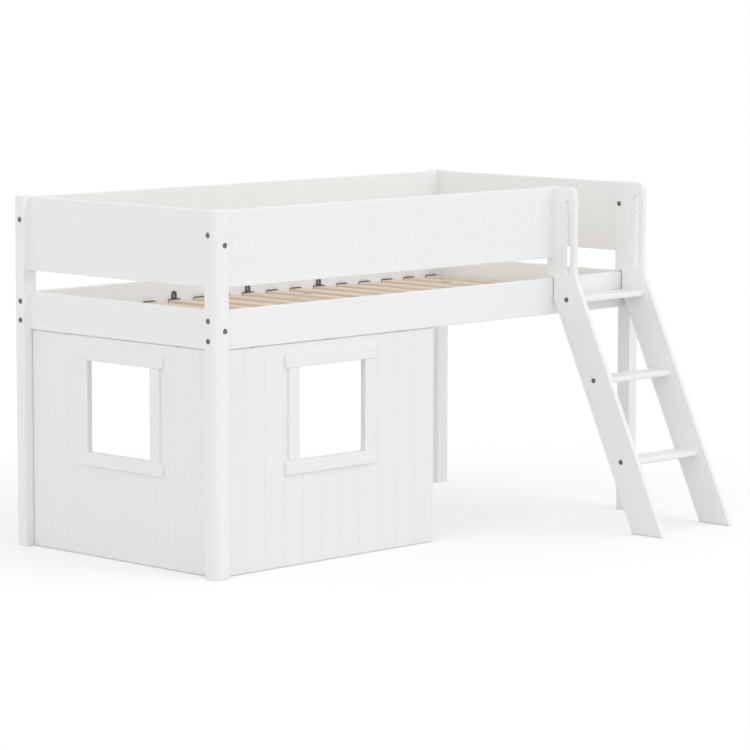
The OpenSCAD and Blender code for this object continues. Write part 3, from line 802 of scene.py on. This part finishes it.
# %% [markdown]
# ## Recesses for the bolt heads
#
# Each bolt head is let into the wood. Without a recess the wood would stand in the
# hexagon socket and show as a white dot in a dark head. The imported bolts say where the
# heads are: the widest ring of points of a bolt is its head. A short cylinder round it
# goes through the same saw as the windows.

# %% Recesses
HEAD_GAP, NEAR = 0.25 * MM, 2 * MM
RECESS_REACH = 6 * MM
HEAD_SHARE = 0.95
RECESS_STEPS = 48
SAME_POINT = 1e-6


def separate_bolts(node):
    """The points of each bolt in a node, gathered by walking along its edges."""
    body = bmesh.new()
    body.from_mesh(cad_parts[node].data)
    bmesh.ops.remove_doubles(body, verts=body.verts, dist=SAME_POINT)
    seen, bolts = set(), []
    for first in body.verts:
        if first in seen:
            continue
        seen.add(first)
        bolt = [first]
        for vert in bolt:
            joined = {edge.other_vert(vert) for edge in vert.link_edges} - seen
            seen |= joined
            bolt += joined
        bolts.append([vert.co.copy() for vert in bolt])
    body.free()
    return bolts


def head_recess(points):
    """Centre of a bolt's head, and a cylinder from under the head to well outside."""
    low = [min(point[i] for point in points) for i in range(3)]
    high = [max(point[i] for point in points) for i in range(3)]
    along = max(range(3), key=lambda i: high[i] - low[i])
    u, v = [i for i in range(3) if i != along]
    middle = Vector([(low[i] + high[i]) / 2 for i in range(3)])
    radius = (high[u] - low[u]) / 2
    head = [point[along] for point in points
            if Vector((point[u] - middle[u], point[v] - middle[v])).length > HEAD_SHARE * radius]
    outwards = sum(head) / len(head) > middle[along]
    start = min(head) if outwards else max(head) - RECESS_REACH
    circle = arc((middle[u], middle[v]), radius + HEAD_GAP, 0, 360, RECESS_STEPS)[:-1]
    place = (start, 0, 0) if along == 0 else (0, start + RECESS_REACH, 0)
    middle[along] = sum(head) / len(head)
    return middle, plank([circle], RECESS_REACH, "XY"[along], 0, 0, place)


def cut_recesses(node):
    """Cuts the recesses of the heads that lie in the box of a node; returns their count."""
    low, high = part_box(node)
    near = [recess for middle, recess in heads
            if all(low[i] - NEAR < middle[i] < high[i] + NEAR for i in range(3))]
    together = bmesh.new()
    for recess in near:
        mesh = bpy.data.meshes.new("recess")
        recess.to_mesh(mesh)
        together.from_mesh(mesh)
        bpy.data.meshes.remove(mesh)
    saw_out(bpy.data.objects[node + "_wood"], together, LADDER_SHARP)
    return len(near)


bolts = separate_bolts("post_bolts") + separate_bolts("ladder_bolts")
heads = [head_recess(bolt) for bolt in bolts]
bored = ["post_" + place for place in OUTER_CORNER] + ["ladder_left_side", "ladder_right_side"]
counts = [cut_recesses(node) for node in bored]
print("bolt heads:", len(heads), "recesses cut:", dict(zip(bored, counts)))

# %% [markdown]
# ## Bolts, slat shoes and hidden hardware
#
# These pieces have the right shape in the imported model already. Only their edges are
# too crisp: a turned bolt head has a broken rim and a moulding has a small radius
# everywhere. A copy of the mesh gets its flat faces merged, so that no needless edges
# are left, and then a Bevel modifier limited by angle. The hardware inside the wood is
# kept as packed and only gets its metal or its wood.


# %% Eased copies
MOULDED_EDGE, TURNED_EDGE = 0.7 * MM, 0.4 * MM
COUNTS_AS_FLAT, COUNTS_AS_EDGE = radians(0.5), 40


def eased_copy(node, width, material):
    """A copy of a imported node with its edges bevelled, standing for that node."""
    body = bmesh.new()
    body.from_mesh(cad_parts[node].data)
    bmesh.ops.remove_doubles(body, verts=body.verts, dist=SAME_POINT)
    bmesh.ops.dissolve_limit(
        body, angle_limit=COUNTS_AS_FLAT, verts=body.verts, edges=body.edges
    )
    for face in body.faces:
        face.material_index = 0
    piece = finished_piece(node + "_eased", body, material, node, COUNTS_AS_EDGE)
    piece.modifiers.clear()
    bevel = piece.modifiers.new("broken_edges", "BEVEL")
    bevel.width, bevel.segments = width, 2
    bevel.limit_method, bevel.angle_limit = "ANGLE", radians(COUNTS_AS_EDGE)
    bevel.harden_normals = True


eased_copy("slat_holders", MOULDED_EDGE, BLACK)
eased_copy("tab_holders", MOULDED_EDGE, BLACK)
eased_copy("post_bolts", TURNED_EDGE, DARK_STEEL)
eased_copy("ladder_bolts", TURNED_EDGE, DARK_STEEL)

KEPT = {"leg_studs": ZINC, "insert_nuts": ZINC, "batten_screws": ZINC,
        "panel_brackets": ZINC, "bracket_screws": ZINC, "leg_dowels": PINE}
for node, material in KEPT.items():
    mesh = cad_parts[node].data
    for index in range(len(mesh.materials)):
        mesh.materials[index] = material
print("nodes kept as packed:", sorted(KEPT))

# %% [markdown]
# ## A white studio
#
# The picture was taken in a white cove: light from everywhere, a little more from the
# front right, and soft grey only where things touch the floor. A white World does most
# of it. It is brighter near the floor than overhead, as a cove is, and that keeps flat
# tops below pure white. Two sun lamps with a large angle, so that their shadows melt
# away, set the long side above the short one and open up the left end. Camera, glossy
# and transmission rays see the World as plain white, so the background needs no extra
# light on the bed.

# %% Floor, world and lamps
FLOOR_SIZE, FLOOR_CELLS = 240.0, 8
FLOOR_SEEN = (1.05, 1.05, 1.05, 1)
FLOOR_BOUNCE = (0.72, 0.72, 0.72, 1)
FLOOR_GLOW_SHARE = 0.16
DOME_AT_FLOOR, DOME_OVERHEAD = 1.0, 0.80
LAMP_ANGLE = radians(50)
LAMPS = {
    "front_right": {"level": 0.46, "from": (0.35, -1.0, 0.7)},
    "left": {"level": 0.24, "from": (-1.0, -0.35, 0.35)},
}
BACKGROUND_WHITE = (0.99, 0.99, 0.99, 1)


def seen_directly(tree):
    """1 for camera, glossy and transmission rays, 0 for the light that reaches the bed."""
    path = tree.nodes.new("ShaderNodeLightPath")
    found = path.outputs["Is Camera Ray"]
    for ray in ("Is Glossy Ray", "Is Transmission Ray"):
        either = tree.nodes.new("ShaderNodeMath")
        either.operation = "MAXIMUM"
        tree.links.new(found, either.inputs[0])
        tree.links.new(path.outputs[ray], either.inputs[1])
        found = either.outputs[0]
    return found


def floor_material():
    """A white floor that keeps its shadows, with part of its white given as plain light."""
    material = bpy.data.materials.new("studio_floor_white")
    material.use_nodes = True
    tree = material.node_tree
    tree.nodes.clear()
    seen = seen_directly(tree)
    tone = tree.nodes.new("ShaderNodeMix")
    tone.data_type = "RGBA"
    tone.inputs["A"].default_value = FLOOR_BOUNCE
    tone.inputs["B"].default_value = FLOOR_SEEN
    tree.links.new(seen, tone.inputs["Factor"])
    paint = tree.nodes.new("ShaderNodeBsdfDiffuse")
    tree.links.new(tone.outputs["Result"], paint.inputs["Color"])
    white = tree.nodes.new("ShaderNodeEmission")
    white.inputs["Color"].default_value = (1, 1, 1, 1)
    white.inputs["Strength"].default_value = 1.0
    share = tree.nodes.new("ShaderNodeMath")
    share.operation = "MULTIPLY"
    share.inputs[1].default_value = FLOOR_GLOW_SHARE
    tree.links.new(seen, share.inputs[0])
    mix = tree.nodes.new("ShaderNodeMixShader")
    tree.links.new(share.outputs[0], mix.inputs["Fac"])
    tree.links.new(paint.outputs[0], mix.inputs[1])
    tree.links.new(white.outputs[0], mix.inputs[2])
    out = tree.nodes.new("ShaderNodeOutputMaterial")
    tree.links.new(mix.outputs[0], out.inputs["Surface"])
    return material


def make_floor():
    """A wide floor under the bed."""
    body = bmesh.new()
    bmesh.ops.create_grid(
        body, x_segments=FLOOR_CELLS, y_segments=FLOOR_CELLS, size=FLOOR_SIZE / 2
    )
    mesh = bpy.data.meshes.new("studio_floor")
    body.to_mesh(mesh)
    body.free()
    floor = bpy.data.objects.new("studio_floor", mesh)
    bpy.context.scene.collection.objects.link(floor)
    mesh.materials.append(floor_material())


def make_world():
    """The cove as a World: graded for the light, plain white for what is seen directly."""
    world = bpy.data.worlds.new("white_cove")
    bpy.context.scene.world = world
    world.use_nodes = True
    tree = world.node_tree
    tree.nodes.clear()
    dome = tree.nodes.new("ShaderNodeBackground")
    dome.inputs["Color"].default_value = (1, 1, 1, 1)
    where = tree.nodes.new("ShaderNodeTexCoord")
    parts = tree.nodes.new("ShaderNodeSeparateXYZ")
    tree.links.new(where.outputs["Generated"], parts.inputs[0])
    grade = tree.nodes.new("ShaderNodeMapRange")
    grade.inputs["To Min"].default_value = DOME_AT_FLOOR
    grade.inputs["To Max"].default_value = DOME_OVERHEAD
    tree.links.new(parts.outputs["Z"], grade.inputs["Value"])
    tree.links.new(grade.outputs["Result"], dome.inputs["Strength"])
    plain = tree.nodes.new("ShaderNodeBackground")
    plain.inputs["Color"].default_value = BACKGROUND_WHITE
    plain.inputs["Strength"].default_value = 1.0
    mix = tree.nodes.new("ShaderNodeMixShader")
    tree.links.new(seen_directly(tree), mix.inputs["Fac"])
    tree.links.new(dome.outputs[0], mix.inputs[1])
    tree.links.new(plain.outputs[0], mix.inputs[2])
    out = tree.nodes.new("ShaderNodeOutputWorld")
    tree.links.new(mix.outputs[0], out.inputs["Surface"])


def make_lamp(name, lamp):
    """A very large, soft sun lamp that shines from the given direction."""
    data = bpy.data.lights.new("softbox_" + name, "SUN")
    data.energy = lamp["level"]
    data.angle = LAMP_ANGLE
    sun = bpy.data.objects.new("softbox_" + name, data)
    bpy.context.scene.collection.objects.link(sun)
    sun.rotation_euler = Vector(lamp["from"]).to_track_quat("Z", "Y").to_euler()


make_floor()
make_world()
for name, lamp in LAMPS.items():
    make_lamp(name, lamp)
bpy.context.scene.view_settings.view_transform = "Standard"
print("dome:", DOME_AT_FLOOR, DOME_OVERHEAD, "lamps:", sorted(LAMPS))
